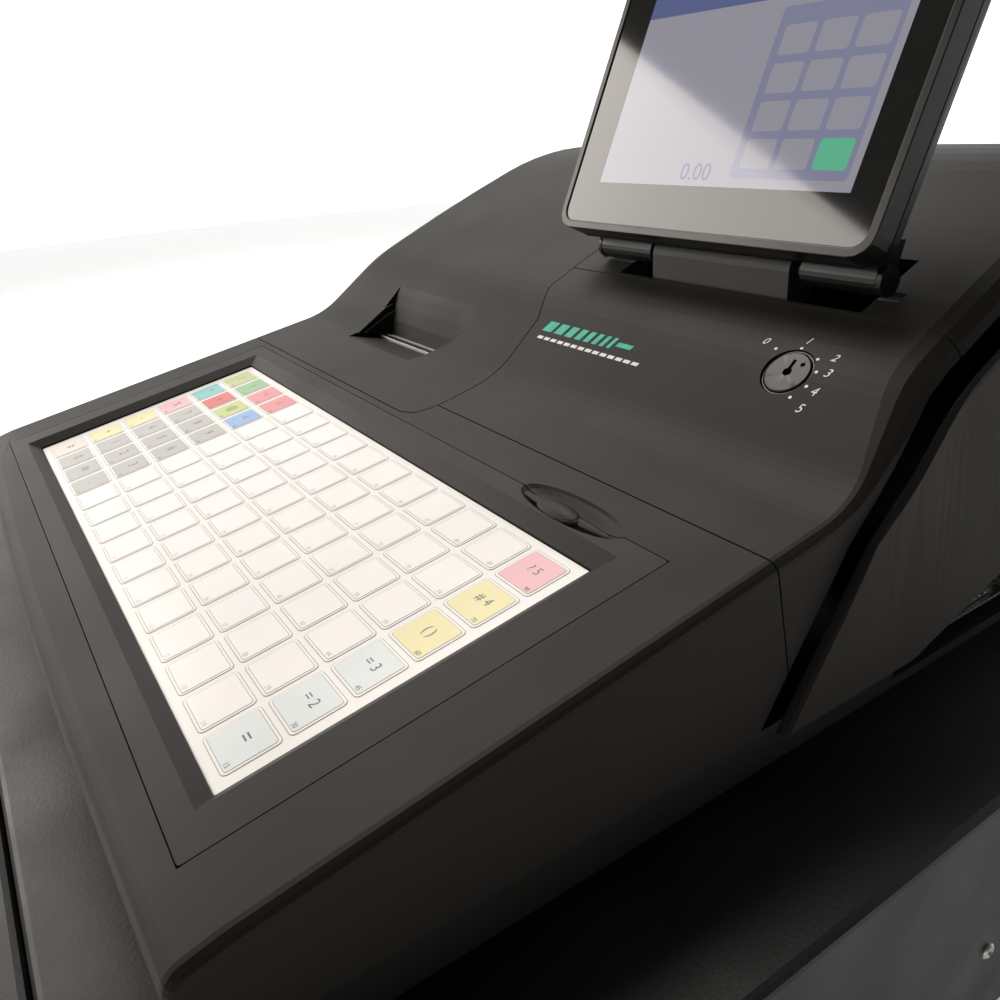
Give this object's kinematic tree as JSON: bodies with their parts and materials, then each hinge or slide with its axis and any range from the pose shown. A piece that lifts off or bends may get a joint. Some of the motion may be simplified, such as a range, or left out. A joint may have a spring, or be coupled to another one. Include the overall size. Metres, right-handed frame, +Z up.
{
  "type": "cash register",
  "caption": "Electronic cash register with a flat keyboard, tilting display, mode lock and receipt printer, standing on its cash drawer.",
  "frame": {"origin": "middle of the footprint, on the counter, under the drawer feet", "axes": "+X to the cashier's right, +Y away from the cashier, +Z up"},
  "size_m": [0.41, 0.415, 0.3201],
  "materials": {
    "charcoal_plastic": "fine-textured warm charcoal moulding",
    "black_plastic": "black moulding",
    "zinc_steel": "zinc-plated sheet and turned steel",
    "black_painted_steel": "black textured powder coat",
    "black_rubber": "moulded rubber",
    "key_sheet": "printed near-white sheet",
    "clear_sheet": "clear flexible cover sheet",
    "display_glass": "glossy black-backed panel",
    "screen": "lit LCD panel",
    "circuit_board": "green solder mask",
    "white_plastic": "acetal",
    "paper": "thermal paper",
    "grey_plastic": "grey moulding"
  },
  "bodies": {
    "register": {"drawer_case": "black_painted_steel", "drawer_foot_front_left": "black_rubber", "drawer_foot_front_right": "black_rubber", "drawer_foot_rear_left": "black_rubber", "drawer_foot_rear_right": "black_rubber", "slide_channel_left": "zinc_steel", "slide_channel_right": "zinc_steel", "release_solenoid": "zinc_steel", "base_pan": "charcoal_plastic", "rear_housing": "charcoal_plastic", "port_panel": "black_plastic", "serial_port_front": "zinc_steel", "serial_port_rear": "zinc_steel", "mains_inlet": "black_plastic", "main_board": "circuit_board", "power_supply": "zinc_steel", "speaker": "black_plastic", "deck_cover": "charcoal_plastic", "main_cover": "charcoal_plastic", "rear_cover": "charcoal_plastic", "clear_sheet": "clear_sheet", "key_sheet": "key_sheet", "membrane_switches": "grey_plastic", "keyboard_plate": "zinc_steel", "mode_lock_barrel": "black_plastic", "display_stand": "grey_plastic", "tilt_pin": "zinc_steel", "printer_frame": "zinc_steel", "print_head": "zinc_steel", "paper_cradle": "black_plastic", "receipt_paper": "paper", "feed_motor": "zinc_steel"},
    "drawer": {"drawer_tray": "black_painted_steel", "drawer_fascia": "black_painted_steel", "drawer_lock_barrel": "zinc_steel", "note_tray": "grey_plastic", "coin_tray": "grey_plastic"},
    "drawer_key": {"drawer_lock_cylinder": "zinc_steel"},
    "clip_1": {"note_clip_1": "zinc_steel"},
    "clip_2": {"note_clip_2": "zinc_steel"},
    "clip_3": {"note_clip_3": "zinc_steel"},
    "clip_4": {"note_clip_4": "zinc_steel"},
    "roller_left": {"slide_roller_left": "white_plastic"},
    "roller_right": {"slide_roller_right": "white_plastic"},
    "latch": {"latch_hook": "zinc_steel"},
    "key_frame": {"key_frame": "charcoal_plastic"},
    "printer_lid": {"printer_cover": "charcoal_plastic"},
    "mode_key": {"mode_lock_cylinder": "grey_plastic"},
    "display": {"display_frame": "charcoal_plastic", "display_glass": "display_glass", "lcd_panel": "screen", "display_board": "circuit_board", "display_shell": "charcoal_plastic", "customer_display": "black_plastic"},
    "platen": {"platen_roller": "black_rubber", "platen_gear": "white_plastic"},
    "idler": {"idler_gear": "white_plastic"},
    "pinion": {"motor_pinion": "white_plastic"},
    "roll": {"paper_roll": "paper"}
  },
  "joints": [
    {"name": "drawer_slide", "type": "slide", "parent": "register", "child": "drawer", "axis": [0, -1, 0], "range_m": [0, 0.29]},
    {"name": "drawer_lock_turn", "type": "hinge", "parent": "drawer", "child": "drawer_key", "pos_m": [0, -0.2072, 0.062], "axis": [0, -1, 0], "range_deg": [0, 90]},
    {"name": "note_clip_1_lift", "type": "hinge", "parent": "drawer", "child": "clip_1", "pos_m": [-0.138, 0.112, 0.066], "axis": [-1, 0, 0], "range_deg": [0, 40], "stiffness_Nm_per_rad": 0.12, "springref_deg": -20.05},
    {"name": "note_clip_2_lift", "type": "hinge", "parent": "drawer", "child": "clip_2", "pos_m": [-0.046, 0.112, 0.066], "axis": [-1, 0, 0], "range_deg": [0, 40], "stiffness_Nm_per_rad": 0.12, "springref_deg": -20.05},
    {"name": "note_clip_3_lift", "type": "hinge", "parent": "drawer", "child": "clip_3", "pos_m": [0.046, 0.112, 0.066], "axis": [-1, 0, 0], "range_deg": [0, 40], "stiffness_Nm_per_rad": 0.12, "springref_deg": -20.05},
    {"name": "note_clip_4_lift", "type": "hinge", "parent": "drawer", "child": "clip_4", "pos_m": [0.138, 0.112, 0.066], "axis": [-1, 0, 0], "range_deg": [0, 40], "stiffness_Nm_per_rad": 0.12, "springref_deg": -20.05},
    {"name": "roller_left_turn", "type": "hinge", "parent": "drawer", "child": "roller_left", "pos_m": [-0.1967, 0.18, 0.046], "axis": [1, 0, 0], "continuous": true},
    {"name": "roller_right_turn", "type": "hinge", "parent": "drawer", "child": "roller_right", "pos_m": [0.1967, 0.18, 0.046], "axis": [1, 0, 0], "continuous": true},
    {"name": "latch_release", "type": "slide", "parent": "register", "child": "latch", "axis": [0, 0, -1], "range_m": [0, 0.007], "stiffness_N_per_m": 300, "springref_m": -0.004},
    {"name": "key_frame_lift", "type": "hinge", "parent": "register", "child": "key_frame", "pos_m": [0, -0.16237, 0.15584], "axis": [1, 0, 0], "range_deg": [0, 75]},
    {"name": "printer_cover_lift", "type": "hinge", "parent": "register", "child": "printer_lid", "pos_m": [-0.0785, 0.1665, 0.2165], "axis": [-1, 0, 0], "range_deg": [0, 65]},
    {"name": "mode_lock_turn", "type": "hinge", "parent": "register", "child": "mode_key", "pos_m": [0.1238, 0.0253, 0.20356], "axis": [0, -0.6276, 0.7785], "range_deg": [-108, 72]},
    {"name": "display_tilt", "type": "hinge", "parent": "register", "child": "display", "pos_m": [0.067, 0.0555, 0.225], "axis": [-1, 0, 0], "range_deg": [-20, 20]},
    {"name": "platen_turn", "type": "hinge", "parent": "register", "child": "platen", "pos_m": [-0.0785, 0.014, 0.1635], "axis": [1, 0, 0], "continuous": true},
    {"name": "idler_turn", "type": "hinge", "parent": "register", "child": "idler", "pos_m": [-0.03695, 0.0311, 0.1547], "axis": [1, 0, 0], "continuous": true},
    {"name": "pinion_turn", "type": "hinge", "parent": "register", "child": "pinion", "pos_m": [-0.03695, 0.0451, 0.1467], "axis": [1, 0, 0], "continuous": true},
    {"name": "paper_roll_turn", "type": "hinge", "parent": "register", "child": "roll", "pos_m": [-0.0785, 0.0945, 0.1925], "axis": [1, 0, 0], "continuous": true}
  ],
  "couplings": [
    {"joint": "idler_turn", "follows": "platen_turn", "ratio": -1},
    {"joint": "pinion_turn", "follows": "platen_turn", "ratio": 1.5},
    {"joint": "roller_left_turn", "follows": "drawer_slide", "rad_per_m": 125},
    {"joint": "roller_right_turn", "follows": "drawer_slide", "rad_per_m": 125}
  ]
}
